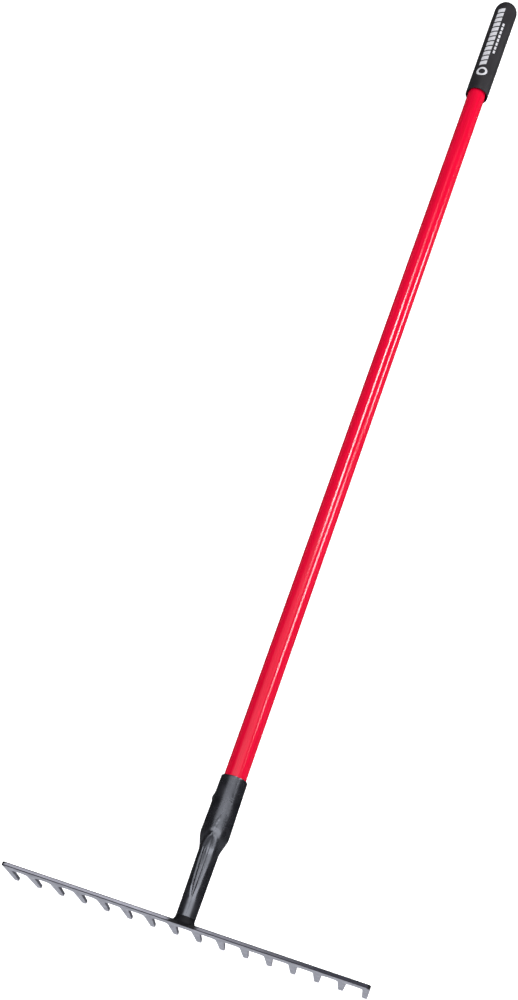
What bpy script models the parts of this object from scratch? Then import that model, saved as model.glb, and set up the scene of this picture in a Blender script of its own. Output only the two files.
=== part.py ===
"""Level-head garden rake, lying as it rests: on its tine tips and the end of its grip.

The parts are laid out in the tool's own frame and then set down on the ground by one empty.
In the tool's frame the handle axis is Y, from the head (y = 0) to the grip, X runs along the
bar, and the tines point along -Z. Lengths are in metres.
"""
import math

import bmesh
import bpy
from mathutils import Matrix, Vector

INCH = 0.0254
GAP = 0.0003  # clearance between pieces that touch
FIT = 0.0004  # clearance round the handle, in the socket and in the grip
MERGE = 1e-5

# Head: one steel comb, a bar with sixteen tines
BAR_LENGTH = 16 * INCH
PLATE = 0.0040
HEAD_HEIGHT = 3 * INCH
BAR_HEIGHT = 0.0190
BAR_TOP = 0.0082  # above the handle axis
TINE_COUNT = 16
TINE_TIP_WIDTH = 0.0060
TINE_ROOT_WIDTH = 0.0096
TINE_FILLET = 0.0050
TIP_SEGMENTS = 8
FILLET_SEGMENTS = 5
EDGE_ROUND = 0.0014  # the comb's edges are rolled
TINE_TIP = BAR_TOP - HEAD_HEIGHT  # height of the tips, below the axis
TINE_PITCH = (BAR_LENGTH - TINE_TIP_WIDTH) / (TINE_COUNT - 1)

# Handle: a hollow pultruded tube with a nested sleeve and a dowel at the socket end
HANDLE_DIAMETER = 1.0 * INCH
HANDLE_WALL = 0.0028
HANDLE_FOOT = 0.1050
HANDLE_TOP = 1.4035
SLEEVE_WALL = 0.0020
SLEEVE_LENGTH = 0.300
DOWEL_LENGTH = 0.120
INNER_INSET = 0.0020  # the sleeve and dowel start this far inside the tube's foot

# Socket: sheet steel, rolled round the handle and drawn down to a shank
SHEET = 0.0019
SOCKET_RIM = 0.1620
SOCKET_RADIUS = HANDLE_DIAMETER / 2 + FIT + SHEET
SOCKET_SPREAD = 0.0011  # how much wider the socket is at its foot than at its rim
SPREAD_START = 0.1000
SHANK_FOOT_RADIUS = 0.0105
SHANK_HEAD_RADIUS = 0.0113
SHANK_FOOT = PLATE / 2 + GAP
NECK_LOW = 0.0770
NECK_HIGH = 0.0990
CROWN_LOW = 0.0740
CROWN_HIGH = 0.1030
GROOVE_FOOT = 0.0285
GROOVE_WIDEST = 0.0800
GROOVE_HEAD = 0.0930
GROOVE_HALF_WIDTH = 0.0050
GROOVE_DEPTH = 0.0022
SOCKET_SIDES = 48
NECK_RINGS = 15

# Weld bead between shank and bar
BEAD_RING_RADIUS = 0.0107
BEAD_RADIUS = 0.0026
BEAD_CENTRE = PLATE / 2 + 0.0003
BEAD_SIDES = 12
SHANK_HOLE_DEPTH = 0.0200

# Rivet, through socket and handle, along X
RIVET_Y = 0.1366
RIVET_RADIUS = 3 / 32 * INCH
RIVET_HEAD_RADIUS = 0.0058
RIVET_HEAD_HEIGHT = 0.0013
RIVET_HOLE_RADIUS = RIVET_RADIUS + GAP
RIVET_DOME_SEGMENTS = 5
RIVET_CLEAR = 0.0062  # the socket's rings stay this far from the rivet's axis

# Grip: a soft cap with a round end and a thin flared mouth
GRIP_MOUTH = 1.2252
GRIP_MOUTH_RADIUS = 0.0163
GRIP_END_RADIUS = 0.0170
GRIP_DOME = 1.4015  # centre of the round end
GRIP_LIP = 0.0013
GRIP_RELIEF = 0.0110
GRIP_BORE_TOP = HANDLE_TOP + GAP
DOME_SEGMENTS = 8

ROUND_STEPS = 48


def new_collection(name):
    collection = bpy.data.collections.new(name)
    bpy.context.scene.collection.children.link(collection)
    return collection


def material(name, colour, roughness, metallic=0.0):
    made = bpy.data.materials.new(name)
    made.use_nodes = True
    shader = made.node_tree.nodes["Principled BSDF"]
    shader.inputs["Base Color"].default_value = (*colour, 1.0)
    shader.inputs["Roughness"].default_value = roughness
    shader.inputs["Metallic"].default_value = metallic
    return made


def smooth(mesh):
    mesh.shade_smooth()
    mesh.set_sharp_from_angle(angle=math.radians(35))


def add_object(name, data, collection, surface=None, parent=None):
    made = bpy.data.objects.new(name, data)
    collection.objects.link(made)
    made.parent = parent
    if surface:
        data.materials.append(surface)
    return made


def along_handle(piece, y=0.0):
    """Turns a piece made round local Z so that it lies round the handle axis."""
    piece.rotation_euler = (math.radians(-90), 0, 0)
    piece.location = (0, y, 0)


def turned(name, profile, collection, surface=None, parent=None):
    """A solid of revolution round local Z; the profile lists (radius, height), outer side first."""
    mesh = bpy.data.meshes.new(name)
    closed = profile[0][0] > 0
    count = len(profile)
    edges = [(i, (i + 1) % count) for i in range(count if closed else count - 1)]
    mesh.from_pydata([(radius, 0, height) for radius, height in profile], edges, [])
    piece = add_object(name, mesh, collection, surface, parent)
    screw = piece.modifiers.new("turn", "SCREW")
    screw.steps = screw.render_steps = ROUND_STEPS
    screw.use_merge_vertices = True
    screw.merge_threshold = MERGE
    screw.use_smooth_shade = True
    return piece


def tube_profile(outer, inner, low, high):
    return [(outer, high), (outer, low), (inner, low), (inner, high)]


def make_cutter(piece):
    piece.hide_render = True
    piece.display_type = "WIRE"


def cut(piece, cutter, operation="DIFFERENCE"):
    boolean = piece.modifiers.new(cutter.name, "BOOLEAN")
    boolean.operation = operation
    boolean.solver = "EXACT"
    boolean.object = cutter


def arc(centre, radius, start, end, segments):
    """Points on an arc in the plane of the comb, angles in degrees."""
    points = []
    for i in range(segments + 1):
        angle = math.radians(start + (end - start) * i / segments)
        points.append((centre[0] + radius * math.cos(angle), centre[1] + radius * math.sin(angle)))
    return points


def comb_outline():
    """The head's outline, left to right along the tines and back along the top edge."""
    half_length = BAR_LENGTH / 2
    root = BAR_TOP - BAR_HEIGHT
    fillet_height = root - TINE_FILLET
    fillet_offset = TINE_ROOT_WIDTH / 2 + TINE_FILLET
    tip_radius = TINE_TIP_WIDTH / 2
    outline = [(-half_length, BAR_TOP)]
    for tine in range(TINE_COUNT):
        middle = -half_length + tip_radius + tine * TINE_PITCH
        if tine > 0:
            outline += arc((middle - fillet_offset, fillet_height), TINE_FILLET, 90, 0, FILLET_SEGMENTS)
        outline += arc((middle, TINE_TIP + tip_radius), tip_radius, 180, 360, TIP_SEGMENTS)
        if tine < TINE_COUNT - 1:
            outline += arc((middle + fillet_offset, fillet_height), TINE_FILLET, 180, 90, FILLET_SEGMENTS)
    outline.append((half_length, BAR_TOP))
    return outline


def make_head(collection, parent):
    outline = comb_outline()
    curve = bpy.data.curves.new("rake_head", "CURVE")
    curve.dimensions = "2D"
    curve.fill_mode = "BOTH"
    curve.extrude = PLATE / 2
    spline = curve.splines.new("POLY")
    spline.points.add(len(outline) - 1)
    for point, (x, height) in zip(spline.points, outline):
        point.co = (x, height, 0, 1)
    spline.use_cyclic_u = True
    steel = material("bare_steel", (0.33, 0.34, 0.36), 0.45, 1.0)
    head = add_object("rake_head", curve, collection, steel, parent)
    head.rotation_euler = (math.radians(90), 0, 0)
    weld = head.modifiers.new("join_caps", "WELD")
    weld.merge_threshold = MERGE
    bevel = head.modifiers.new("rolled_edges", "BEVEL")
    bevel.width = EDGE_ROUND
    bevel.segments = 2
    bevel.limit_method = "ANGLE"
    bevel.angle_limit = math.radians(60)


def ease(low, high, value):
    """0 below low, 1 above high, and a smooth step between."""
    t = min(max((value - low) / (high - low), 0.0), 1.0)
    return t * t * (3 - 2 * t)


def socket_half_sizes(y):
    """Half width and half height of the socket and shank at a place along the handle."""
    shank = SHANK_FOOT_RADIUS + (SHANK_HEAD_RADIUS - SHANK_FOOT_RADIUS) * min(y / NECK_LOW, 1.0)
    spread = SOCKET_SPREAD * min((SOCKET_RIM - y) / (SOCKET_RIM - SPREAD_START), 1.0)
    width = shank + (SOCKET_RADIUS + spread - shank) * ease(NECK_LOW, NECK_HIGH, y)
    height = shank + (SOCKET_RADIUS - shank) * ease(CROWN_LOW, CROWN_HIGH, y)
    return width, height


def groove_half_width(y):
    if y < GROOVE_WIDEST:
        return GROOVE_HALF_WIDTH * max((y - GROOVE_FOOT) / (GROOVE_WIDEST - GROOVE_FOOT), 0.0)
    return GROOVE_HALF_WIDTH * (1 - ease(GROOVE_WIDEST, GROOVE_HEAD, y))


def socket_section(y):
    """The outer section: an ellipse with the pinched seam along its crown."""
    width, height = socket_half_sizes(y)
    groove = groove_half_width(y)
    depth = GROOVE_DEPTH * (groove / GROOVE_HALF_WIDTH) ** 2
    points = []
    for i in range(SOCKET_SIDES):
        angle = 2 * math.pi * i / SOCKET_SIDES
        x, z = width * math.sin(angle), height * math.cos(angle)
        if z > 0 and abs(x) < groove:
            z -= depth * (1 + math.cos(math.pi * x / groove)) / 2
        points.append(Vector((x, z)))
    return points


def inset_section(points, distance):
    """The same section, moved inward by the sheet's thickness."""
    inner = []
    for i, point in enumerate(points):
        along = points[(i + 1) % len(points)] - points[i - 1]
        inward = Vector((-along.y, along.x)).normalized()
        if inward.dot(point) > 0:
            inward.negate()
        inner.append(point + inward * distance)
    return inner


def socket_stations():
    """Places of the rings along the handle: close together where the shape changes."""
    step = (CROWN_HIGH - GROOVE_FOOT) / (NECK_RINGS - 1)
    shaped = [GROOVE_FOOT + step * i for i in range(NECK_RINGS)]
    return [SHANK_FOOT] + shaped + [RIVET_Y - RIVET_CLEAR, RIVET_Y + RIVET_CLEAR, SOCKET_RIM]


def make_socket(collection, parent, rivet_hole):
    """A loft through the sections, as a shell of sheet steel that is open at both ends."""
    mesh = bpy.data.meshes.new("socket")
    shell = bmesh.new()
    outer, inner = [], []
    for y in socket_stations():
        section = socket_section(y)
        outer.append([shell.verts.new((x, y, z)) for x, z in section])
        inner.append([shell.verts.new((x, y, z)) for x, z in inset_section(section, SHEET)])
    loop = outer + inner[::-1]
    for ring, following in zip(loop, loop[1:] + loop[:1]):
        for i in range(SOCKET_SIDES):
            j = (i + 1) % SOCKET_SIDES
            shell.faces.new((ring[i], ring[j], following[j], following[i]))
    bmesh.ops.recalc_face_normals(shell, faces=shell.faces)
    shell.to_mesh(mesh)
    shell.free()
    smooth(mesh)
    paint = material("black_paint", (0.02, 0.02, 0.022), 0.35)
    socket = add_object("socket", mesh, collection, paint, parent)
    cut(socket, rivet_hole)


def make_weld(collection, cutters, parent):
    """A ring of weld round the shank's foot that laps over the bar's top edge."""
    bpy.ops.mesh.primitive_torus_add(
        major_radius=BEAD_RING_RADIUS,
        minor_radius=BEAD_RADIUS,
        major_segments=ROUND_STEPS,
        minor_segments=BEAD_SIDES,
    )
    bead = bpy.context.object
    bead.name = bead.data.name = "weld_bead"
    for owner in list(bead.users_collection):
        owner.objects.unlink(bead)
    collection.objects.link(bead)
    bead.parent = parent
    along_handle(bead, BEAD_CENTRE)
    bead.data.materials.append(material("painted_weld", (0.02, 0.02, 0.022), 0.45))
    smooth(bead.data)

    wide, narrow = SHANK_FOOT_RADIUS + 2 * GAP, SHANK_FOOT_RADIUS + GAP
    shank_hole = turned(
        "shank_hole",
        [(0, SHANK_HOLE_DEPTH), (wide, SHANK_HOLE_DEPTH), (narrow, 0), (0, 0)],
        cutters,
        parent=parent,
    )
    along_handle(shank_hole, PLATE / 2)
    make_cutter(shank_hole)
    cut(bead, shank_hole)

    block = bpy.data.meshes.new("bar_space")
    box = bmesh.new()
    height = BAR_TOP + GAP + HEAD_HEIGHT
    size = Matrix.Diagonal((BAR_LENGTH, PLATE + 2 * GAP, height, 1))
    bmesh.ops.create_cube(box, size=1.0, matrix=size)
    box.to_mesh(block)
    box.free()
    bar_space = add_object("bar_space", block, cutters, parent=parent)
    bar_space.location = (0, 0, BAR_TOP + GAP - height / 2)
    make_cutter(bar_space)
    cut(bead, bar_space)


def make_rivet_hole(cutters, parent):
    reach = 2 * SOCKET_RADIUS
    hole = turned(
        "rivet_hole",
        [(0, reach), (RIVET_HOLE_RADIUS, reach), (RIVET_HOLE_RADIUS, -reach), (0, -reach)],
        cutters,
        parent=parent,
    )
    hole.rotation_euler = (0, math.radians(90), 0)
    hole.location = (0, RIVET_Y, 0)
    make_cutter(hole)
    return hole


def make_rivet(collection, parent):
    """Domed head on the -X side, shank across the socket, tail peened flush on the +X side."""
    half_width = socket_half_sizes(RIVET_Y)[0]
    seat = half_width + GAP
    dome_radius = (RIVET_HEAD_RADIUS**2 + RIVET_HEAD_HEIGHT**2) / (2 * RIVET_HEAD_HEIGHT)
    dome_angle = math.degrees(math.asin(RIVET_HEAD_RADIUS / dome_radius))
    centre = seat + RIVET_HEAD_HEIGHT - dome_radius
    dome = arc((0, centre), dome_radius, 90, 90 - dome_angle, RIVET_DOME_SEGMENTS)
    dome[0] = (0, seat + RIVET_HEAD_HEIGHT)
    profile = dome + [(RIVET_RADIUS, seat), (RIVET_RADIUS, -half_width), (0, -half_width)]
    steel = material("rivet_steel", (0.03, 0.03, 0.032), 0.4)
    rivet = turned("rivet", profile, collection, steel, parent)
    rivet.rotation_euler = (0, math.radians(-90), 0)
    rivet.location = (0, RIVET_Y, 0)


def make_handle(collection, parent, rivet_hole):
    tube_radius = HANDLE_DIAMETER / 2
    tube_bore = tube_radius - HANDLE_WALL
    resin = material("red_fibreglass", (0.72, 0.01, 0.03), 0.3)
    tube = turned(
        "handle_tube",
        tube_profile(tube_radius, tube_bore, 0, HANDLE_TOP - HANDLE_FOOT),
        collection,
        resin,
        parent,
    )
    along_handle(tube, HANDLE_FOOT)
    cut(tube, rivet_hole)

    sleeve_radius = tube_bore - GAP
    sleeve_bore = sleeve_radius - SLEEVE_WALL
    glass = material("plain_fibreglass", (0.62, 0.58, 0.42), 0.5)
    sleeve = turned(
        "reinforcing_sleeve",
        tube_profile(sleeve_radius, sleeve_bore, 0, SLEEVE_LENGTH),
        collection,
        glass,
        parent,
    )
    along_handle(sleeve, HANDLE_FOOT + INNER_INSET)
    cut(sleeve, rivet_hole)

    dowel_radius = sleeve_bore - GAP
    wood = material("hardwood", (0.55, 0.38, 0.2), 0.6)
    dowel = turned(
        "core_dowel",
        [(0, DOWEL_LENGTH), (dowel_radius, DOWEL_LENGTH), (dowel_radius, 0), (0, 0)],
        collection,
        wood,
        parent,
    )
    along_handle(dowel, HANDLE_FOOT + INNER_INSET)
    cut(dowel, rivet_hole)


def make_grip(collection, parent):
    bore = HANDLE_DIAMETER / 2 + FIT
    length = GRIP_DOME - GRIP_MOUTH
    dome = arc((0, length), GRIP_END_RADIUS, 90, 0, DOME_SEGMENTS)
    dome[0] = (0, length + GRIP_END_RADIUS)
    bore_top = GRIP_BORE_TOP - GRIP_MOUTH
    profile = dome + [
        (GRIP_MOUTH_RADIUS, 0),
        (GRIP_MOUTH_RADIUS - GRIP_LIP, 0),
        (bore, GRIP_RELIEF),
        (bore, bore_top),
        (0, bore_top),
    ]
    rubber = material("black_rubber", (0.03, 0.03, 0.03), 0.8)
    grip = turned("grip", profile, collection, rubber, parent)
    along_handle(grip, GRIP_MOUTH)


def rest_pose():
    """Sets the tool down: tine tips and the grip's round end both touch z = 0."""
    contact = PLATE / 2 - EDGE_ROUND
    run = GRIP_DOME - contact
    drop = -TINE_TIP
    tilt = math.atan2(drop, run) - math.asin(GRIP_END_RADIUS / math.hypot(run, drop))
    front = -PLATE / 2 * math.cos(tilt) + (TINE_TIP + EDGE_ROUND) * math.sin(tilt)
    back = GRIP_DOME * math.cos(tilt) + GRIP_END_RADIUS
    lift = drop * math.cos(tilt) + contact * math.sin(tilt)
    empty = bpy.data.objects.new("rest_pose", None)
    bpy.context.scene.collection.objects.link(empty)
    empty.rotation_euler = (-tilt, 0, 0)
    empty.location = (0, -(front + back) / 2, lift)
    return empty


def main():
    for old in list(bpy.data.objects):
        bpy.data.objects.remove(old, do_unlink=True)
    rake = new_collection("level_head_rake")
    cutters = new_collection("cutters")
    pose = rest_pose()
    rivet_hole = make_rivet_hole(cutters, pose)
    make_head(rake, pose)
    make_socket(rake, pose, rivet_hole)
    make_weld(rake, cutters, pose)
    make_rivet(rake, pose)
    make_handle(rake, pose, rivet_hole)
    make_grip(rake, pose)


main()
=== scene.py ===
"""Looks of the level-head garden rake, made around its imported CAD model.

Visible pieces are modelled in the tool's own frame and placed by one matrix. In the tool's frame
the handle axis is Y, from the head (y = 0) to the grip, X runs along the bar, and the tines point
along -Z. Lengths are in metres.
"""
import math

import bmesh
import bpy
from mathutils import Matrix, Vector, noise


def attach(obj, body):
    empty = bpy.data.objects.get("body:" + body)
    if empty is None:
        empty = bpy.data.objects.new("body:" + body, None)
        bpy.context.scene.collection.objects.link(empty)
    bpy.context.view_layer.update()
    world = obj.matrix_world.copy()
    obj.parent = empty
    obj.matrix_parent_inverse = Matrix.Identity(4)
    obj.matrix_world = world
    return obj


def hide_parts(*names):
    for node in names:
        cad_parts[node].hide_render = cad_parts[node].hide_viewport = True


INCH = 0.0254
BODY = "root"

# Head: one steel comb, a bar with sixteen tines
BAR_LENGTH = 16 * INCH
PLATE = 0.0040
HEAD_HEIGHT = 3 * INCH
BAR_HEIGHT = 0.0190
BAR_TOP = 0.0082  # above the handle axis
TINE_COUNT = 16
TINE_TIP_WIDTH = 0.0060
TINE_ROOT_WIDTH = 0.0096
TINE_FILLET = 0.0050
TINE_TIP = BAR_TOP - HEAD_HEIGHT  # height of the tips, below the axis
TINE_PITCH = (BAR_LENGTH - TINE_TIP_WIDTH) / (TINE_COUNT - 1)
EDGE_ROUND = 0.0014  # the comb's edges are rolled
BAR_END_ROUND = 0.0030
TINE_EDGE_ROUND = 0.0018
TIP_SEGMENTS = 16
FILLET_SEGMENTS = 10
EDGE_SEGMENTS = 4

# Handle
HANDLE_RADIUS = 0.5 * INCH
HANDLE_WALL = 0.0028
HANDLE_FOOT = 0.1050
HANDLE_TOP = 1.4035
HANDLE_CHAMFER = 0.0004

# Socket: sheet steel, rolled round the handle and drawn down to a shank
FIT = 0.0004
SHEET = 0.0019
SOCKET_RIM = 0.1620
SOCKET_RADIUS = HANDLE_RADIUS + FIT + SHEET
SOCKET_SPREAD = 0.0011  # above the neck, each side stands out this much beyond the round
SPREAD_START = 0.1000  # and from here on less and less, to nothing at the rim
SHANK_FOOT_RADIUS = 0.0105
SHANK_HEAD_RADIUS = 0.0113
SHANK_FOOT = PLATE / 2
NECK_LOW = 0.0770  # the width grows from shank to socket between these
NECK_HIGH = 0.0990
CROWN_LOW = 0.0740  # and the height between these
CROWN_HIGH = 0.1030
GROOVE_FOOT = 0.0285
GROOVE_WIDEST = 0.0800
GROOVE_APEX = 0.0930
GROOVE_HALF_WIDTH = 0.0048
GROOVE_DEPTH = 0.0013
GROOVE_SHIFT = -0.0008  # its middle, from the crown
GROOVE_LEAN = -0.65  # where its bottom lies, from -1 at one edge to 1 at the other
GROOVE_WALL_POWER = 0.9  # 1 would make its walls flat
LEFT_RIDGE_HEIGHT = 0.0022
RIGHT_RIDGE_HEIGHT = 0.0006
RIDGE_WIDTH = 0.0028
RIDGE_OFFSET = 0.0024  # from the groove's edge to the crest
RIDGE_START = (-0.006, 0.012)  # fades in, from the groove's foot
RIDGE_STOP = (0, 0.006)  # fades out, from the groove's apex
SEAM_TOP = 0.1150
SEAM_FADE = 0.01
SEAM_DEPTH = 0.0002
SEAM_WIDTH = 0.0007
SCAR_HEIGHT = 0.00035  # ragged end of the seam weld, above the groove
SCAR_WIDTH = 0.0017
SCAR_START = (-0.001, 0.005)  # fades in, from the groove's apex
SCAR_STOP = (-0.003, 0.003)  # fades out, from the seam's top
SCAR_MEAN = 0.6
SCAR_GRAIN = 420  # lumps per metre
DENT_ANGLE = 54  # a crease down each side of the neck, from the crown
DENT_SPREAD = 13
DENT_DEPTH = 0.0009
DENT_START = (-0.008, 0.006)  # fades in, from the neck's lower end
DENT_STOP = (0, 0.014)  # fades out, from its upper end
SOCKET_SIDES = 176
CROWN_CROWDING = 0.78  # how strongly the sides gather at the crown
SOCKET_RING_GAP = 0.0011
RIM_ROUND = 0.0002
RIM_MIDDLE = 0.3  # where the rounding's middle ring lies, as a share of it

# Weld between shank and bar: a hollow fillet that laps over the bar's top edge
WELD_BACK = 0.0080  # how far it runs up the shank
WELD_FRONT = -0.0010  # and over the bar's top edge
WELD_REACH = 0.0021  # beyond the shank, on the bar's back face
WELD_SAG = 0.0009
WELD_RIPPLES = 30
WELD_RIPPLE_HEIGHT = 0.00018
WELD_WANDER = 0.0005  # how far its outline strays
WELD_WANDER_GRAIN = 3  # radius of the circle on which the noise is read, once round
WELD_WANDER_SLICE = 0.5  # height of that circle in the noise
WELD_LAP_RISE = 0.0012  # above the bar's top, where the lap is whole
WELD_LAP_THINNING = 0.7  # share of the reach that the lap loses
WELD_STEPS = 12
WELD_SIDES = 240

# Rivet, along X
RIVET_Y = 0.1366
RIVET_RADIUS = 3 / 32 * INCH
RIVET_HEAD_RADIUS = 0.0058
RIVET_HEAD_HEIGHT = 0.0013
RIVET_SEAT = 0.0001  # how far it stands off or sinks into the socket's skin
RIVET_TAIL_TAPER = 0.8
RIVET_SIDES = 48
RIVET_STEPS = 10
RIVET_CENTRE = 0.02  # radius of the ring at the head's centre, in steps

# Grip
GRIP_MOUTH = 1.2252
GRIP_MOUTH_RADIUS = 0.0163
GRIP_END_RADIUS = 0.0170
GRIP_DOME = 1.4015  # centre of the round end
GRIP_LIP = 0.0013
GRIP_LIP_START = -20  # the lip's arc, in degrees
GRIP_LIP_STOP = -180
GRIP_RELIEF = 0.0110  # depth of the mouth's flare inside
GRIP_CLEAR = 0.0003  # above the handle's end
GRIP_DOME_SEGMENTS = 24
GRIP_BODY_SEGMENTS = 12
GRIP_LIP_SEGMENTS = 8

# Print on the grip; angles are in degrees from the crown
PRINT_FILM = 0.00008  # thickness
PRINT_LIFT = 0.00004  # its underside, off the grip's skin
PRINT_STEP = 0.002  # about the length of one quad
BARS_FOOT = 1.2725
BARS_TOP = 1.3950
BARS_COUNT = 12
BARS_FILLED = 0.74
BARS_ANGLE = -17
BARS_HALF_WIDTH = 0.0050
BARS_SLANT = 0.25
BARS_TURNS = 10  # quads across
DASHES_FOOT = 1.2985
DASHES_TOP = 1.3650
DASHES_COUNT = 8
DASHES_FILLED = 0.7
DASHES_ANGLE = 17
DASHES_HALF_WIDTH = 0.0015
DASHES_TURNS = 4
RING_PLACE = 1.2588
RING_ANGLE = -9
RING_RADIUS = 0.0082
RING_WIDTH = 0.0033
RING_SIDES = 40

ROUND_SIDES = 128  # of the handle and the grip

# A Mix node's sockets when it mixes colours
MIX_FIRST = 6
MIX_SECOND = 7
MIX_RESULT = 2

# Steel's colours, with its painted shade and painted highlight, and where each begins and ends on the comb
METAL_DARK = (0.36, 0.365, 0.41)
METAL_PALE = (0.56, 0.565, 0.62)
# painted shade on the comb's edges, set by how far their faces turn from front or back
EDGE_SHADE_COLOUR = (0.085, 0.085, 0.105)
# the bar's top: a painted highlight, pale at one end and dark at the other, with painted shade lines along
# its edges
CROWN_DARK = (0.030, 0.030, 0.038)
CROWN_HIGHLIGHT_COLOUR = (0.40, 0.40, 0.45)
# black paint by the weld, and the same near black at the bar's upper corners
PAINT_COLOUR = (0.006, 0.006, 0.007)
CROWN_HEIGHTS = (-0.0014, -0.0004)  # from the bar's top
CROWN_SHADE_LINES = (0.0010, 0.0014)  # from the bar's middle plane to its dark edge lines of painted shade
HIGHLIGHT_FADE = (-0.06, 0.15)  # along the bar, the painted highlight fading from pale to dark
WELD_PAINT = (0.013, 0.020)  # along the bar, from its middle
# the bar's upper corners turn near black towards its ends
END_DARK = (-0.0045, -0.0020)  # along the bar, from its ends
END_DARK_HEIGHTS = (-0.0070, -0.0045)  # from the bar's top
PAINT_WANDER = 0.008

# Camera
CAMERA_PLACE = (0.1907, -0.8602, 1.4891)
CAMERA_AZIMUTH = 18.712
CAMERA_ELEVATION = 64.248
CAMERA_ROLL = -0.917
CAMERA_LENS = 47.47
CAMERA_SHIFT = (-0.0438, 0.0079)

# Floor and backdrop
PALE_COLOUR = (0.82, 0.82, 0.82, 1)
FLOOR_SIZE = 14.0
FLOOR_GLOW = 0.72
BACKDROP_GLOW = 0.85

# Studio, in the directions and places of the tool's frame
WORLD_FRONT = -0.35  # Y of a direction: bright below this
WORLD_BEYOND = 0.10  # and dark above this
WORLD_BRIGHT = 0.60
WORLD_DARK = 0.03
WORLD_COLOUR = (0.94, 0.95, 1.0, 1.0)
PANEL_COLOUR = (0.98, 0.98, 1.0)
# name, start, stop, width, radiance
PANELS = (
    ("overhead", (-1.75, 0.10, 2.5), (2.1, 0.10, 2.2), 1.05, 5.0),
    ("overhead_fade", (-1.7, 0.82, 2.5), (1.6, 0.82, 2.3), 0.4, 0.9),
    ("ceiling", (-2.2, 1.34, 2.5), (1.6, 1.34, 2.3), 0.6, 0.5),
    ("far_strip", (0.50, 1.75, 2.5), (0.50, 2.66, 2.5), 0.50, 28),
    ("right_high", (2.0, 1.16, 1.83), (2.0, 1.75, 0.975), 0.35, 20),
    ("right_low", (2.0, 1.97, 0.62), (2.0, 2.52, 0.32), 0.35, 24),
)


# ---------------------------------------------------------------- mesh helpers


def ease(low, high, value):
    """0 below low, 1 above high, and a smooth step between."""
    t = min(max((value - low) / (high - low), 0.0), 1.0)
    return t * t * (3 - 2 * t)


def window(start, fading_in, stop, fading_out, y):
    """1 between start and stop along the handle, easing in and out over the offsets given."""
    shown = ease(start + fading_in[0], start + fading_in[1], y)
    return shown * (1 - ease(stop + fading_out[0], stop + fading_out[1], y))


def bell(offset, width):
    """A bell curve: 1 at no offset, and nearly 0 past two widths."""
    return math.exp(-((offset / width) ** 2))


def rest_pose():
    """Sets the tool down: tine tips and the grip's round end both touch z = 0."""
    contact = PLATE / 2 - EDGE_ROUND
    run = GRIP_DOME - contact
    drop = -TINE_TIP
    tilt = math.atan2(drop, run) - math.asin(GRIP_END_RADIUS / math.hypot(run, drop))
    front = -PLATE / 2 * math.cos(tilt) + (TINE_TIP + EDGE_ROUND) * math.sin(tilt)
    back = GRIP_DOME * math.cos(tilt) + GRIP_END_RADIUS
    lift = drop * math.cos(tilt) + contact * math.sin(tilt)
    return Matrix.Translation((0, -(front + back) / 2, lift)) @ Matrix.Rotation(-tilt, 4, "X")


def link(name, mesh):
    piece = bpy.data.objects.new(name, mesh)
    bpy.context.scene.collection.objects.link(piece)
    return piece


def finish_mesh(name, shape, smooth_angle=40):
    """Turns a bmesh into a linked object, shaded smooth with sharp edges past the angle."""
    mesh = bpy.data.meshes.new(name)
    bmesh.ops.recalc_face_normals(shape, faces=shape.faces)
    shape.to_mesh(mesh)
    shape.free()
    mesh.shade_smooth()
    mesh.set_sharp_from_angle(angle=math.radians(smooth_angle))
    return link(name, mesh)


def skin(shape, rings, joined=True):
    """Faces between rings of vertices; joined closes the last ring to the first."""
    following = rings[1:] + rings[:1] if joined else rings[1:]
    for ring, after in zip(rings, following):
        for i in range(len(ring)):
            j = (i + 1) % len(ring)
            shape.faces.new((ring[i], ring[j], after[j], after[i]))


def ring_at(shape, y, radius, sides=ROUND_SIDES):
    """A circle of vertices round the handle axis."""
    ring = []
    for i in range(sides):
        angle = 2 * math.pi * i / sides
        ring.append(shape.verts.new((radius * math.sin(angle), y, radius * math.cos(angle))))
    return ring


def arc(centre, radius, start, end, segments):
    """Points on an arc in a plane, angles in degrees."""
    points = []
    for i in range(segments + 1):
        angle = math.radians(start + (end - start) * i / segments)
        points.append((centre[0] + radius * math.cos(angle), centre[1] + radius * math.sin(angle)))
    return points


# ---------------------------------------------------------------- materials


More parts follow.
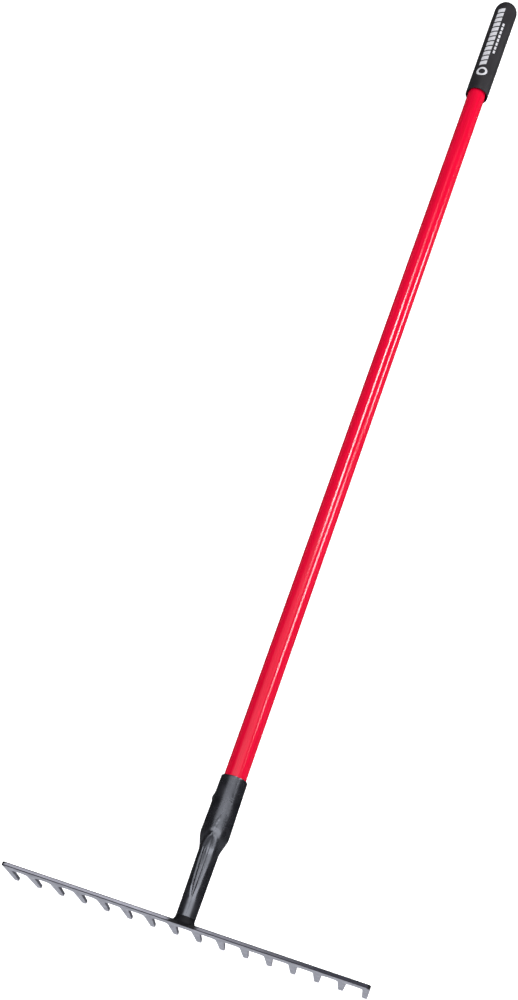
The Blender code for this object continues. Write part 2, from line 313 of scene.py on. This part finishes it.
class Nodes:
    """Short calls for the few node kinds that the materials use."""

    def __init__(self, name):
        self.material = bpy.data.materials.new(name)
        self.material.use_nodes = True
        self.tree = self.material.node_tree
        self.shader = self.tree.nodes["Principled BSDF"]

    def add(self, kind, **settings):
        node = self.tree.nodes.new(kind)
        for key, value in settings.items():
            setattr(node, key, value)
        return node

    def join(self, source, target):
        self.tree.links.new(source, target)

    def place(self, scale=(1, 1, 1), space="Object"):
        """Object coordinates in metres, stretched by scale."""
        coordinates = self.add("ShaderNodeTexCoord")
        mapping = self.add("ShaderNodeMapping")
        mapping.inputs["Scale"].default_value = scale
        self.join(coordinates.outputs[space], mapping.inputs["Vector"])
        return mapping.outputs["Vector"]

    def noise(self, place, scale, detail=3.0, roughness=0.5):
        texture = self.add("ShaderNodeTexNoise")
        texture.inputs["Scale"].default_value = scale
        texture.inputs["Detail"].default_value = detail
        texture.inputs["Roughness"].default_value = roughness
        self.join(place, texture.inputs["Vector"])
        return texture.outputs["Fac"]

    def spread(self, source, low, high, start=0.3, stop=0.7):
        """Maps a noise's usual range onto low ... high."""
        node = self.add("ShaderNodeMapRange")
        node.inputs["From Min"].default_value = start
        node.inputs["From Max"].default_value = stop
        node.inputs["To Min"].default_value = low
        node.inputs["To Max"].default_value = high
        self.join(source, node.inputs["Value"])
        return node.outputs["Result"]

    def ramp(self, source, stops):
        node = self.add("ShaderNodeValToRGB")
        elements = node.color_ramp.elements
        while len(elements) < len(stops):
            elements.new(0.5)
        for element, (position, colour) in zip(elements, stops):
            element.position = position
            element.color = (*colour, 1.0)
        self.join(source, node.inputs["Fac"])
        return node.outputs["Color"]

    def mix(self, factor, first, second):
        node = self.add("ShaderNodeMix", data_type="RGBA")
        self.join(factor, node.inputs["Factor"])
        for value, socket in ((first, node.inputs[MIX_FIRST]), (second, node.inputs[MIX_SECOND])):
            if isinstance(value, tuple):
                socket.default_value = (*value, 1.0)
            else:
                self.join(value, socket)
        return node.outputs[MIX_RESULT]

    def math(self, operation, first, second=0.0):
        node = self.add("ShaderNodeMath", operation=operation)
        for value, socket in ((first, node.inputs[0]), (second, node.inputs[1])):
            if isinstance(value, (int, float)):
                socket.default_value = value
            else:
                self.join(value, socket)
        return node.outputs[0]

    def colour(self, source, dark, pale, start=0.3, stop=0.7):
        self.join(self.ramp(source, [(start, dark), (stop, pale)]), self.shader.inputs["Base Color"])

    def roughness(self, source, low, high):
        self.join(self.spread(source, low, high), self.shader.inputs["Roughness"])

    def weigh(self, first, share, second):
        """Adds two values, the first by its share and the second by the rest."""
        rest = self.math("MULTIPLY", second, round(1 - share, 6))
        return self.math("ADD", self.math("MULTIPLY", first, share), rest)

    def axes(self, vector):
        node = self.add("ShaderNodeSeparateXYZ")
        self.join(vector, node.inputs["Vector"])
        return node.outputs

    def bump(self, height, distance):
        node = self.add("ShaderNodeBump")
        node.inputs["Strength"].default_value = 1.0
        node.inputs["Distance"].default_value = distance
        self.join(height, node.inputs["Height"])
        self.join(node.outputs["Normal"], self.shader.inputs["Normal"])

    def set(self, **values):
        for name, value in values.items():
            self.shader.inputs[name.replace("_", " ")].default_value = value


def steel_faces(made, mottle, blend):
    """Pale where the comb's flat faces look front or back, and darker with painted shade where its edges
    and rolled rims turn away.
    """
    metal = made.ramp(blend, [(0.36, METAL_DARK), (0.62, METAL_PALE)])
    # painted shade: the colour darkens as the surface turns away from the flat faces
    facing = made.math("ABSOLUTE", made.axes(made.place(space="Normal"))["Y"])
    flat = made.math("ADD", facing, made.math("MULTIPLY", mottle, 0.2))
    return made.mix(made.spread(flat, 0.80, 0.0, 0.55, 1.06), metal, EDGE_SHADE_COLOUR)


def steel_crown_highlight(made, axes, along):
    """The bar's top face: painted shade as dark lines along both edges, and a painted highlight between
    them that is paler at one end than the other.
    """
    from_middle = made.math("ABSOLUTE", axes["Y"])
    lit_band = made.spread(from_middle, 0.70, 0.0, *CROWN_SHADE_LINES)
    bright = made.math("MULTIPLY", made.spread(along, 1.0, 0.0, *HIGHLIGHT_FADE), lit_band)
    return made.mix(bright, CROWN_DARK, CROWN_HIGHLIGHT_COLOUR)


def from_top(heights):
    """Heights in the tool's frame, from offsets to the bar's top."""
    return [BAR_TOP + height for height in heights]


def steel_paint_and_dark_ends(made, axes, along, top):
    """Where the comb is near black: black paint beside the weld, and the bar's upper corners."""
    away = made.math("ABSOLUTE", along)
    near = made.math("MULTIPLY", made.spread(away, 1.0, 0.0, *WELD_PAINT), top)
    upper = made.spread(axes["Z"], 0.0, 1.0, *from_top(END_DARK_HEIGHTS))
    ends = made.spread(away, 0.0, 1.0, *[BAR_LENGTH / 2 + place for place in END_DARK])
    return made.math("MAXIMUM", near, made.math("MULTIPLY", ends, upper))


def steel():
    """Bare forged steel: pale faces, edges dark with painted shade, a painted highlight along the bar's
    top, paint by the weld, and near black at the bar's ends.
    """
    made = Nodes("bare_steel")
    place = made.place()
    mottle = made.noise(place, 90, detail=5, roughness=0.6)
    brushed = made.noise(made.place(scale=(1, 1, 0.08)), 1500, detail=2)
    blend = made.weigh(mottle, 0.7, brushed)
    axes = made.axes(place)
    wander = made.math("SUBTRACT", made.noise(place, 260, detail=3), 0.5)
    along = made.math("ADD", axes["X"], made.math("MULTIPLY", wander, PAINT_WANDER))
    top = made.spread(axes["Z"], 0.0, 1.0, *from_top(CROWN_HEIGHTS))
    # the bar's top takes the painted highlight and painted shade lines
    metal = made.mix(top, steel_faces(made, mottle, blend), steel_crown_highlight(made, axes, along))
    # black paint beside the weld, and near black at the bar's upper corners
    paint = steel_paint_and_dark_ends(made, axes, along, top)
    made.join(made.mix(paint, metal, PAINT_COLOUR), made.shader.inputs["Base Color"])
    made.join(made.spread(paint, 0.75, 0.0, 0, 1), made.shader.inputs["Metallic"])
    made.roughness(mottle, 0.54, 0.70)
    made.bump(blend, 0.00012)
    made.set(Specular_IOR_Level=0.1)
    return made.material


def black_paint():
    """Semi-gloss black enamel with a slight orange peel and a cold sheen."""
    made = Nodes("black_paint")
    place = made.place()
    patches = made.noise(place, 70, detail=4)
    made.colour(patches, (0.0060, 0.0060, 0.0075), (0.0105, 0.0105, 0.0125))
    made.roughness(patches, 0.20, 0.34)
    made.bump(made.noise(place, 420, detail=2), 0.00002)
    made.set(Specular_IOR_Level=1.0, Specular_Tint=(0.86, 0.90, 1.0, 1.0))
    return made.material


def weld_shaded_paint():
    """The same enamel over spatter and scale: thin, rough and nearly matt, with its base colour darker as
    painted shade on the weld.
    """
    made = Nodes("weld_shaded_paint")
    place = made.place()
    patches = made.noise(place, 220, detail=4)
    # painted shade: a darker base colour than black_paint's
    made.colour(patches, (0.004, 0.004, 0.005), (0.008, 0.008, 0.0095))
    made.roughness(patches, 0.45, 0.65)
    made.bump(made.noise(place, 900, detail=3), 0.0001)
    made.set(Specular_IOR_Level=0.1)
    return made.material


def red_fibreglass():
    """Red resin over glass fibres that run the length of the handle."""
    made = Nodes("red_fibreglass")
    strands = made.noise(made.place(scale=(1, 0.012, 1)), 1300, detail=3, roughness=0.65)
    bundles = made.noise(made.place(scale=(1, 0.02, 1)), 240, detail=2)
    cloud = made.noise(made.place(), 18, detail=2)
    fibre = made.weigh(strands, 0.6, bundles)
    resin = made.ramp(fibre, [(0.34, (0.46, 0.0010, 0.017)), (0.66, (0.62, 0.0025, 0.033))])
    deep = made.mix(made.spread(cloud, 0.0, 0.35), resin, (0.50, 0.0012, 0.020))
    made.join(deep, made.shader.inputs["Base Color"])
    made.roughness(fibre, 0.11, 0.20)
    made.bump(fibre, 0.00004)
    made.set(Specular_IOR_Level=0.5)
    return made.material


def rubber():
    """Dipped vinyl: near black, matt, with a fine pebble."""
    made = Nodes("black_rubber")
    place = made.place()
    pebble = made.noise(place, 1500, detail=2)
    smudge = made.noise(place, 45, detail=4)
    made.colour(smudge, (0.011, 0.010, 0.0115), (0.017, 0.0155, 0.0175))
    made.roughness(smudge, 0.50, 0.66)
    made.bump(pebble, 0.00005)
    made.set(Specular_IOR_Level=0.2)
    return made.material


def white_ink():
    """Printed white, a little thin in places."""
    made = Nodes("white_print")
    worn = made.noise(made.place(), 700, detail=3)
    made.colour(worn, (0.33, 0.33, 0.35), (0.48, 0.48, 0.50), start=0.25, stop=0.5)
    made.roughness(worn, 0.6, 0.45)
    return made.material


def plain_fibreglass():
    """Unpigmented resin over glass fibres."""
    made = Nodes("plain_fibreglass")
    strands = made.noise(made.place(scale=(1, 0.02, 1)), 900, detail=3)
    made.colour(strands, (0.50, 0.46, 0.30), (0.68, 0.64, 0.47))
    made.roughness(strands, 0.4, 0.6)
    made.bump(strands, 0.00005)
    return made.material


def hardwood():
    """Turned wood with its grain along the handle."""
    made = Nodes("hardwood")
    grain = made.noise(made.place(scale=(1, 0.06, 1)), 500, detail=5)
    made.colour(grain, (0.36, 0.21, 0.09), (0.62, 0.43, 0.23))
    made.roughness(grain, 0.5, 0.7)
    made.bump(grain, 0.0001)
    return made.material


# ---------------------------------------------------------------- comb


def comb_outline():
    """The head's outline as (x, height), down one end, along the tines and up the other end."""
    half_length = BAR_LENGTH / 2
    root = BAR_TOP - BAR_HEIGHT
    fillet_height = root - TINE_FILLET
    fillet_offset = TINE_ROOT_WIDTH / 2 + TINE_FILLET
    tip_radius = TINE_TIP_WIDTH / 2
    corner = BAR_END_ROUND
    outline = arc((-half_length + corner, BAR_TOP - corner), corner, 90, 180, EDGE_SEGMENTS)
    for tine in range(TINE_COUNT):
        middle = -half_length + tip_radius + tine * TINE_PITCH
        if tine > 0:
            outline += arc((middle - fillet_offset, fillet_height), TINE_FILLET, 90, 0, FILLET_SEGMENTS)
        outline += arc((middle, TINE_TIP + tip_radius), tip_radius, 180, 360, TIP_SEGMENTS)
        if tine < TINE_COUNT - 1:
            outline += arc((middle + fillet_offset, fillet_height), TINE_FILLET, 180, 90, FILLET_SEGMENTS)
    outline += arc((half_length - corner, BAR_TOP - corner), corner, 0, 90, EDGE_SEGMENTS)
    return outline


def weigh_edges(shape):
    """Weighs the edges round both faces for the bevel: a little more on the tines than the bar."""
    weight = shape.edges.layers.float.new("bevel_weight_edge")
    for edge in shape.edges:
        if abs(edge.verts[0].co.y - edge.verts[1].co.y) < PLATE / 2:
            middle = (edge.verts[0].co.z + edge.verts[1].co.z) / 2
            share = ease(BAR_TOP - BAR_HEIGHT / 2, BAR_TOP - BAR_HEIGHT - TINE_FILLET, middle)
            edge[weight] = (EDGE_ROUND + (TINE_EDGE_ROUND - EDGE_ROUND) * share) / TINE_EDGE_ROUND


def make_comb(pose):
    shape = bmesh.new()
    front = [shape.verts.new((x, -PLATE / 2, z)) for x, z in comb_outline()]
    back = [shape.verts.new((x, PLATE / 2, z)) for x, z in comb_outline()]
    shape.faces.new(front)
    shape.faces.new(back[::-1])
    skin(shape, [front, back], joined=False)
    bmesh.ops.recalc_face_normals(shape, faces=shape.faces)
    weigh_edges(shape)
    comb = finish_mesh("comb", shape, smooth_angle=60)
    rolled = comb.modifiers.new("rolled_edges", "BEVEL")
    rolled.width = TINE_EDGE_ROUND
    rolled.segments = EDGE_SEGMENTS
    rolled.limit_method = "WEIGHT"
    rolled.harden_normals = True
    comb.matrix_world = pose
    return comb


# ---------------------------------------------------------------- socket


def socket_half_sizes(y):
    """Half width and half height of the socket and shank at a place along the handle."""
    shank = SHANK_FOOT_RADIUS + (SHANK_HEAD_RADIUS - SHANK_FOOT_RADIUS) * min(y / NECK_LOW, 1.0)
    spread = SOCKET_SPREAD * min((SOCKET_RIM - y) / (SOCKET_RIM - SPREAD_START), 1.0)
    width = shank + (SOCKET_RADIUS + spread - shank) * ease(NECK_LOW, NECK_HIGH, y)
    height = shank + (SOCKET_RADIUS - shank) * ease(CROWN_LOW, CROWN_HIGH, y)
    return width, height


def groove_half_width(y):
    """Straight sides up to the widest place, and a pointed arch above it."""
    if y < GROOVE_WIDEST:
        return GROOVE_HALF_WIDTH * math.sqrt(max((y - GROOVE_FOOT) / (GROOVE_WIDEST - GROOVE_FOOT), 0.0))
    rise = min((y - GROOVE_WIDEST) / (GROOVE_APEX - GROOVE_WIDEST), 1.0)
    return GROOVE_HALF_WIDTH * math.sqrt(1 - rise)


def groove_relief(place, share):
    """Height of the groove's surface, at a place from -1 at one edge to 1 at the other."""
    if place < GROOVE_LEAN:
        wall = (1 + place) / (1 + GROOVE_LEAN)
    else:
        wall = (1 - place) / (1 - GROOVE_LEAN)
    return -GROOVE_DEPTH * share * max(wall, 0.0) ** GROOVE_WALL_POWER


def ridge_relief(offset, half, y):
    """Height of the ridges that stand beside the groove, the left one taller."""
    side = ease(-RIDGE_WIDTH, RIDGE_WIDTH, offset)
    height = LEFT_RIDGE_HEIGHT + (RIGHT_RIDGE_HEIGHT - LEFT_RIDGE_HEIGHT) * side
    shown = window(GROOVE_FOOT, RIDGE_START, GROOVE_APEX, RIDGE_STOP, y)
    return height * shown * bell(abs(offset) - half - RIDGE_OFFSET, RIDGE_WIDTH)


def seam_relief(x, y):
    """Height of the seam line and of the ragged scar of weld above the groove."""
    seam = 1 - ease(SEAM_TOP - SEAM_FADE, SEAM_TOP, y)
    scar = window(GROOVE_APEX, SCAR_START, SEAM_TOP, SCAR_STOP, y)
    ragged = SCAR_MEAN + noise.noise(Vector((x, y, 0)) * SCAR_GRAIN)
    return SCAR_HEIGHT * scar * ragged * bell(x, SCAR_WIDTH) - SEAM_DEPTH * seam * bell(x, SEAM_WIDTH)


def crown_relief(x, y):
    """Height of the pinched seam above the plain section: groove, ridges and seam line."""
    half = groove_half_width(y)
    share = half / GROOVE_HALF_WIDTH
    offset = x - GROOVE_SHIFT * share
    relief = ridge_relief(offset, half, y) + seam_relief(x, y)
    if half > 0:
        relief += groove_relief(offset / half, share)
    return relief


def neck_dent(angle, y):
    """Depth of the crease beside the neck, where the round socket is pressed down to the shank."""
    shown = window(NECK_LOW, DENT_START, NECK_HIGH, DENT_STOP, y)
    turned_by = abs(math.degrees(math.remainder(angle, 2 * math.pi)))
    return DENT_DEPTH * shown * bell(turned_by - DENT_ANGLE, DENT_SPREAD)


def crown_angles():
    """Angles round the socket from its crown, close together near the crown."""
    turns = [2 * math.pi * i / SOCKET_SIDES for i in range(SOCKET_SIDES)]
    return [turn - CROWN_CROWDING * math.sin(turn) for turn in turns]


def socket_section(y, inset=0.0):
    """Points round the socket at a place along the handle, sunk in by the inset."""
    width, height = socket_half_sizes(y)
    points = []
    for angle in crown_angles():
        sunk = inset + neck_dent(angle, y)
        x = (width - sunk) * math.sin(angle)
        z = (height - sunk) * math.cos(angle)
        if z > 0:
            z += crown_relief(x, y)
        points.append((x, y, z))
    return points


def socket_stations():
    """Evenly spaced places from the shank's foot to the start of the rounded rim."""
    count = round((SOCKET_RIM - RIM_ROUND - SHANK_FOOT) / SOCKET_RING_GAP)
    step = (SOCKET_RIM - RIM_ROUND - SHANK_FOOT) / count
    return [SHANK_FOOT + step * i for i in range(count + 1)]


def make_socket(pose):
    """Sheet steel: the outer skin up to the rim, over its rounding, and back down inside."""
    shape = bmesh.new()
    rings = [socket_section(y) for y in socket_stations()]
    sunk = RIM_ROUND * RIM_MIDDLE
    rings.append([(x, SOCKET_RIM - sunk, z) for x, _, z in socket_section(SOCKET_RIM, sunk)])
    rings.append(socket_section(SOCKET_RIM, RIM_ROUND))
    rings.append(socket_section(SOCKET_RIM, SHEET - RIM_ROUND))
    inner_stations = [SOCKET_RIM - RIM_ROUND, RIVET_Y, CROWN_HIGH, NECK_HIGH, NECK_LOW]
    for y in inner_stations + [GROOVE_FOOT, SHANK_FOOT]:
        rings.append(socket_section(y, SHEET))
    skin(shape, [[shape.verts.new(point) for point in ring] for ring in rings])
    socket = finish_mesh("socket_shell", shape, smooth_angle=50)
    socket.matrix_world = pose
    return socket


# ---------------------------------------------------------------- weld, rivet


def weld_wander(turn):
    """How much further than usual the weld reaches, at an angle from the crown."""
    place = (WELD_WANDER_GRAIN * math.cos(turn), WELD_WANDER_GRAIN * math.sin(turn), WELD_WANDER_SLICE)
    return WELD_WANDER * noise.noise(Vector(place))


def weld_profile(turn):
    """The weld's section at an angle from the crown, as (distance from the axis, y), closed."""
    shank = socket_half_sizes(WELD_BACK)[0]
    ripple = WELD_RIPPLE_HEIGHT * abs(math.sin(WELD_RIPPLES * turn / 2))
    over_top = ease(BAR_TOP, BAR_TOP + WELD_LAP_RISE, shank * math.cos(turn))
    reach = WELD_REACH * (1 - WELD_LAP_THINNING * over_top) + weld_wander(turn)
    back = PLATE / 2
    front = back + (WELD_FRONT - back) * over_top
    floor = shank + reach
    if over_top > 0:
        floor = max(BAR_TOP / math.cos(turn), shank - SHEET)
    outer = []
    for i in range(WELD_STEPS + 1):
        share = i / WELD_STEPS
        rise = math.sin(math.pi * share)
        distance = shank + reach * share - WELD_SAG * rise * (1 - over_top)
        outer.append((max(distance, shank) + ripple * rise, WELD_BACK + (back - WELD_BACK) * share))
    for i in range(1, WELD_STEPS // 2 + 1):
        share = i / (WELD_STEPS // 2)
        drop = (shank + reach - floor) * share * share
        outer.append((shank + reach - drop * over_top, back + (front - back) * share))
    under = min(shank - SHEET, outer[-1][0])
    return outer + [(under, front), (under, WELD_BACK)]


def make_weld(pose):
    """A rippled fillet round the shank's foot, lapping over the bar's top edge."""
    shape = bmesh.new()
    rings = []
    for i in range(WELD_SIDES):
        turn = 2 * math.pi * i / WELD_SIDES
        ring = []
        for distance, y in weld_profile(turn):
            ring.append(shape.verts.new((distance * math.sin(turn), y, distance * math.cos(turn))))
        rings.append(ring)
    skin(shape, rings)
    bead = finish_mesh("weld_seam", shape, smooth_angle=80)
    bead.matrix_world = pose
    return bead


def rivet_ring(shape, side, radius, lift):
    """A ring round the rivet's axis, lifted off the socket's skin on one side of it."""
    ring = []
    for i in range(RIVET_SIDES):
        angle = 2 * math.pi * i / RIVET_SIDES
        y = RIVET_Y + radius * math.cos(angle)
        z = radius * math.sin(angle)
        width, height = socket_half_sizes(y)
        skin_x = width * math.sqrt(max(1 - (z / height) ** 2, 0.0))
        ring.append(shape.verts.new((side * (skin_x + lift), y, z)))
    return ring


def make_rivet(pose):
    """A low dome whose underside follows the socket, on a shank whose tail is peened flush."""
    shape = bmesh.new()
    rings = []
    for i in range(RIVET_STEPS + 1):
        radius = RIVET_HEAD_RADIUS * (i + RIVET_CENTRE) / (RIVET_STEPS + RIVET_CENTRE)
        lift = RIVET_HEAD_HEIGHT * (1 + math.cos(math.pi * radius / RIVET_HEAD_RADIUS)) / 2
        rings.append(rivet_ring(shape, -1, radius, lift + RIVET_SEAT))
    rings.append(rivet_ring(shape, -1, RIVET_HEAD_RADIUS, -RIVET_SEAT))
    rings.append(rivet_ring(shape, -1, RIVET_RADIUS, -RIVET_SEAT))
    rings.append(rivet_ring(shape, 1, RIVET_RADIUS, -2 * RIVET_SEAT))
    rings.append(rivet_ring(shape, 1, RIVET_RADIUS * RIVET_TAIL_TAPER, RIVET_SEAT))
    shape.faces.new(rings[0])
    shape.faces.new(rings[-1])
    skin(shape, rings, joined=False)
    rivet = finish_mesh("rivet_head", shape, smooth_angle=50)
    rivet.matrix_world = pose
    return rivet


# ---------------------------------------------------------------- handle, grip


def turned(name, profile, pose, smooth_angle=40):
    """A solid of revolution round the handle axis from (radius, y) points; radius 0 closes an end."""
    shape = bmesh.new()
    closed = profile[0][0] > 0 and profile[-1][0] > 0
    rings = [ring_at(shape, y, radius) for radius, y in profile if radius > 0]
    skin(shape, rings, joined=closed)
    for (radius, y), ring in ((profile[0], rings[0]), (profile[-1], rings[-1])):
        if radius == 0:
            pole = shape.verts.new((0, y, 0))
            for i in range(len(ring)):
                shape.faces.new((ring[i], ring[(i + 1) % len(ring)], pole))
    piece = finish_mesh(name, shape, smooth_angle)
    piece.matrix_world = pose
    return piece


def make_handle(pose):
    bore = HANDLE_RADIUS - HANDLE_WALL
    profile = [
        (HANDLE_RADIUS, HANDLE_FOOT + HANDLE_CHAMFER),
        (HANDLE_RADIUS, HANDLE_TOP - HANDLE_CHAMFER),
        (HANDLE_RADIUS - HANDLE_CHAMFER, HANDLE_TOP),
        (bore, HANDLE_TOP),
        (bore, HANDLE_FOOT),
        (HANDLE_RADIUS - HANDLE_CHAMFER, HANDLE_FOOT),
    ]
    return turned("handle_skin", profile, pose)


def grip_radius(y):
    share = (y - GRIP_MOUTH) / (GRIP_DOME - GRIP_MOUTH)
    return GRIP_MOUTH_RADIUS + (GRIP_END_RADIUS - GRIP_MOUTH_RADIUS) * share


def make_grip(pose):
    """A cap with a round end, a slightly tapered body, a rolled lip and a bore for the handle."""
    bore = HANDLE_RADIUS + FIT
    lip = GRIP_LIP / 2
    outer = arc((0, GRIP_DOME), GRIP_END_RADIUS, 90, 0, GRIP_DOME_SEGMENTS)
    outer[0] = (0, GRIP_DOME + GRIP_END_RADIUS)
    length = GRIP_DOME - GRIP_MOUTH - lip
    places = [GRIP_DOME - length * i / GRIP_BODY_SEGMENTS for i in range(1, GRIP_BODY_SEGMENTS + 1)]
    body = [(grip_radius(y), y) for y in places]
    lip_centre = (GRIP_MOUTH_RADIUS - lip, GRIP_MOUTH + lip)
    rolled = arc(lip_centre, lip, GRIP_LIP_START, GRIP_LIP_STOP, GRIP_LIP_SEGMENTS)
    top = HANDLE_TOP + GRIP_CLEAR
    inner = [(bore, GRIP_MOUTH + GRIP_RELIEF), (bore, top), (0, top)]
    return turned("grip_cap", outer + body + rolled + inner, pose, smooth_angle=60)


def on_grip(shape, y, across, centre, thickness):
    """A vertex on the grip's skin, a distance across from an angle off the crown."""
    radius = grip_radius(y) + thickness
    angle = math.radians(centre) + across / radius
    return shape.verts.new((radius * math.sin(angle), y, radius * math.cos(angle)))


def print_grid(shape, low, high, centre, half_width, slant, turns, thickness):
    """Rows of vertices over one printed bar."""
    steps = max(2, round((high - low) / PRINT_STEP))
    grid = []
    for i in range(steps + 1):
        row = []
        for j in range(turns + 1):
            across = -half_width + 2 * half_width * j / turns
            y = low + (high - low) * i / steps + slant * across
            row.append(on_grip(shape, y, across, centre, thickness))
        grid.append(row)
    return grid


def grid_rim(grid):
    """The vertices round a grid's outside, in order."""
    rim = list(grid[0]) + [row[-1] for row in grid[1:]]
    return rim + grid[-1][-2::-1] + [row[0] for row in grid[-2:0:-1]]


def print_patch(shape, low, high, centre, half_width, slant, turns):
    """One printed bar: y from low to high, centred at an angle from the crown towards +X."""
    size = (low, high, centre, half_width, slant, turns)
    layers = [print_grid(shape, *size, thickness) for thickness in (PRINT_LIFT, PRINT_LIFT + PRINT_FILM)]
    for grid in layers:
        for row, after in zip(grid, grid[1:]):
            for j in range(turns):
                shape.faces.new((row[j], row[j + 1], after[j + 1], after[j]))
    skin(shape, [grid_rim(grid) for grid in layers], joined=False)


def print_row(shape, foot, top, count, filled, centre, half_width, slant, turns):
    """Equal printed bars, one after the other along the grip."""
    pitch = (top - foot) / count
    for i in range(count):
        start = foot + pitch * i
        print_patch(shape, start, start + pitch * filled, centre, half_width, slant, turns)


def print_ring(shape, y, centre, radius, width):
    """A printed ring, centred at an angle from the crown towards +X."""
    inner = radius - width
    loops = []
    for size, thickness in (
        (radius, PRINT_LIFT), (radius, PRINT_FILM), (inner, PRINT_FILM), (inner, PRINT_LIFT),
    ):
        loop = []
        for i in range(RING_SIDES):
            turn = 2 * math.pi * i / RING_SIDES
            loop.append(on_grip(shape, y + size * math.sin(turn), size * math.cos(turn), centre, thickness))
        loops.append(loop)
    skin(shape, loops)


def make_print(pose):
    """Plain slanted bars, a row of dashes and a ring, printed on the grip."""
    shape = bmesh.new()
    print_row(shape, BARS_FOOT, BARS_TOP, BARS_COUNT, BARS_FILLED,
              BARS_ANGLE, BARS_HALF_WIDTH, BARS_SLANT, BARS_TURNS)
    print_row(shape, DASHES_FOOT, DASHES_TOP, DASHES_COUNT, DASHES_FILLED,
              DASHES_ANGLE, DASHES_HALF_WIDTH, 0.0, DASHES_TURNS)
    print_ring(shape, RING_PLACE, RING_ANGLE, RING_RADIUS, RING_WIDTH)
    made = finish_mesh("grip_print", shape, smooth_angle=50)
    made.matrix_world = pose
    return made


# ---------------------------------------------------------------- stage


def pale(name, glow):
    """A plain pale matt surface that glows a little."""
    made = Nodes(name)
    made.set(Base_Color=PALE_COLOUR, Roughness=0.9, Specular_IOR_Level=0.0)
    made.set(Emission_Color=(1, 1, 1, 1), Emission_Strength=glow)
    return made.material


def make_floor():
    """A plain white floor. Reflections pass it by, as over a black table in a studio."""
    bpy.ops.mesh.primitive_plane_add(size=FLOOR_SIZE)
    floor = bpy.context.object
    floor.name = "floor"
    floor.data.materials.append(pale("pale_floor", FLOOR_GLOW))
    floor.visible_glossy = False


def make_backdrop():
    """A plain pale backdrop all round, behind the lights, for views that look over the floor."""
    bpy.ops.mesh.primitive_uv_sphere_add(segments=64, ring_count=32, radius=FLOOR_SIZE / 2)
    backdrop = bpy.context.object
    backdrop.name = "backdrop"
    backdrop.data.materials.append(pale("pale_backdrop", BACKDROP_GLOW))
    backdrop.visible_glossy = False
    backdrop.visible_diffuse = False
    backdrop.visible_shadow = False


def panel(name, start, stop, width, radiance, pose):
    """A soft box along a line in the tool's frame, facing the middle of the handle."""
    start = pose @ Vector(start)
    stop = pose @ Vector(stop)
    aim = pose @ Vector((0, HANDLE_TOP / 2, 0))
    lamp = bpy.data.lights.new(name, "AREA")
    lamp.shape = "RECTANGLE"
    lamp.size = (stop - start).length
    lamp.size_y = width
    lamp.energy = radiance * math.pi * lamp.size * lamp.size_y
    lamp.color = PANEL_COLOUR
    centre = (start + stop) / 2
    towards = (centre - aim).normalized()
    along = (stop - start).normalized()
    along = (along - towards * along.dot(towards)).normalized()
    axes = Matrix((along, towards.cross(along), towards)).transposed().to_4x4()
    link(name, lamp).matrix_world = Matrix.Translation(centre) @ axes


def make_world():
    """Pale in front of the tool, where the comb faces, and dark beyond it."""
    world = bpy.data.worlds.new("studio")
    bpy.context.scene.world = world
    world.use_nodes = True
    nodes, links = world.node_tree.nodes, world.node_tree.links
    direction = nodes.new("ShaderNodeTexCoord")
    axes = nodes.new("ShaderNodeSeparateXYZ")
    fade = nodes.new("ShaderNodeMapRange")
    fade.interpolation_type = "SMOOTHSTEP"
    fade.inputs["From Min"].default_value = WORLD_FRONT
    fade.inputs["From Max"].default_value = WORLD_BEYOND
    fade.inputs["To Min"].default_value = WORLD_BRIGHT
    fade.inputs["To Max"].default_value = WORLD_DARK
    links.new(direction.outputs["Generated"], axes.inputs["Vector"])
    links.new(axes.outputs["Y"], fade.inputs["Value"])
    links.new(fade.outputs["Result"], nodes["Background"].inputs["Strength"])
    nodes["Background"].inputs["Color"].default_value = WORLD_COLOUR


def make_lights(pose):
    make_world()
    for name, start, stop, width, radiance in PANELS:
        panel(name, start, stop, width, radiance, pose)


def make_camera():
    data = bpy.data.cameras.new("camera")
    data.lens = CAMERA_LENS
    data.sensor_width = 36
    data.sensor_fit = "AUTO"
    data.shift_x, data.shift_y = CAMERA_SHIFT
    camera = link("camera", data)
    turn = Matrix.Rotation(math.radians(CAMERA_AZIMUTH), 4, "Z")
    nod = Matrix.Rotation(math.radians(90 - CAMERA_ELEVATION), 4, "X")
    roll = Matrix.Rotation(math.radians(CAMERA_ROLL), 4, "Z")
    camera.matrix_world = Matrix.Translation(CAMERA_PLACE) @ turn @ nod @ roll
    bpy.context.scene.camera = camera
    bpy.context.scene.view_settings.view_transform = "Standard"


# ---------------------------------------------------------------- the whole scene


def dress(piece, slot, surface, *nodes):
    """Puts a material on a new piece and sets it in the frame in place of its CAD nodes."""
    piece.data.materials.clear()
    piece.data.materials.append(surface)
    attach(piece, BODY)
    if nodes:
        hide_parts(*nodes)


def repaint(node, surface):
    node.data.materials.clear()
    node.data.materials.append(surface)


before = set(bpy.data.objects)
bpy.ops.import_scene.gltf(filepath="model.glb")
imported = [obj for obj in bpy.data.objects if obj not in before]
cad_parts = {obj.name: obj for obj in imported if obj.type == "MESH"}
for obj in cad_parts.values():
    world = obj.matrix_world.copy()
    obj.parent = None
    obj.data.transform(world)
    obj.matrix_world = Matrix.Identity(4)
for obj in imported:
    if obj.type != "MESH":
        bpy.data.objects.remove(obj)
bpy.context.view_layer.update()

tool = rest_pose()
make_camera()
make_lights(tool)
make_floor()
make_backdrop()

paint = black_paint()
dress(make_comb(tool), "bare_steel", steel(), "rake_head")
dress(make_socket(tool), "black_paint", paint, "socket")
dress(make_weld(tool), "black_paint", weld_shaded_paint(), "weld_bead")
dress(make_rivet(tool), "black_paint", paint, "rivet")
dress(make_handle(tool), "red_fibreglass", red_fibreglass(), "handle_tube")
dress(make_grip(tool), "black_rubber", rubber(), "grip")
dress(make_print(tool), "black_rubber", white_ink())
repaint(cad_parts["reinforcing_sleeve"], plain_fibreglass())
repaint(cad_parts["core_dowel"], hardwood())
